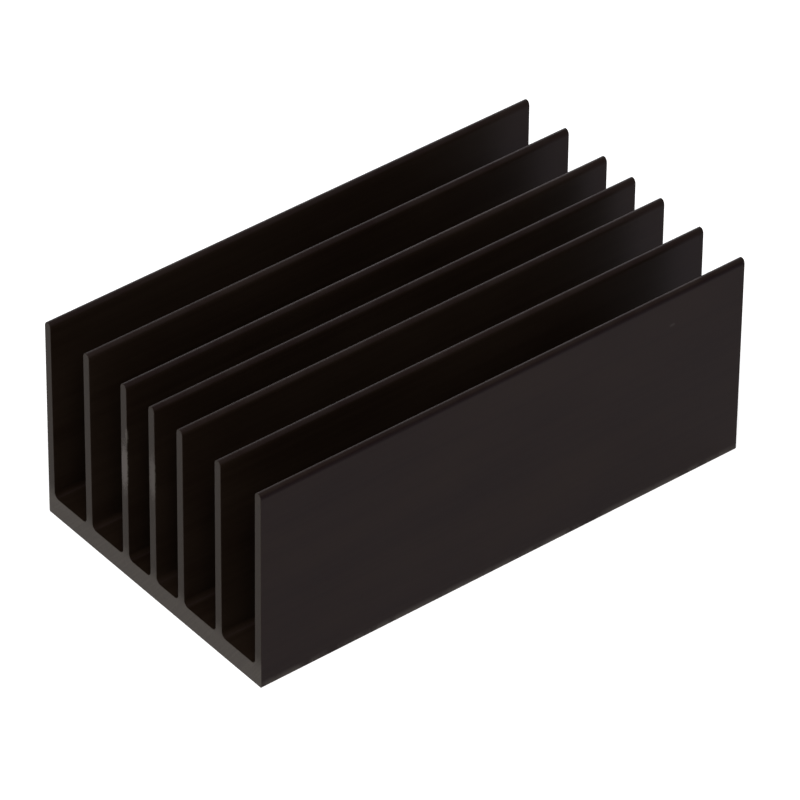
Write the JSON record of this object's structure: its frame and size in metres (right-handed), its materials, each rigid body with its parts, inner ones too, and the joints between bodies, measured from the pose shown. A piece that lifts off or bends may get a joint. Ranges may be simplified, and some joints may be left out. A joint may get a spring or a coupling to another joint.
{
  "type": "extruded heat sink",
  "caption": "Straight length of black anodised aluminium profile with upright, round-tipped cooling fins on a thin flat base, sawn square at both ends.",
  "frame": {"origin": "middle of the flat mounting face under the base", "axes": "+Y along the extrusion and its slots, +X across the fins, +Z from the mounting face up to the fin tips"},
  "size_m": [0.057, 0.1, 0.0396],
  "materials": {
    "heat_sink": "black anodised, satin, with fine lines along the extrusion and matt sawn ends"
  },
  "bodies": {
    "root": {"heat_sink": "heat_sink"}
  },
  "joints": []
}
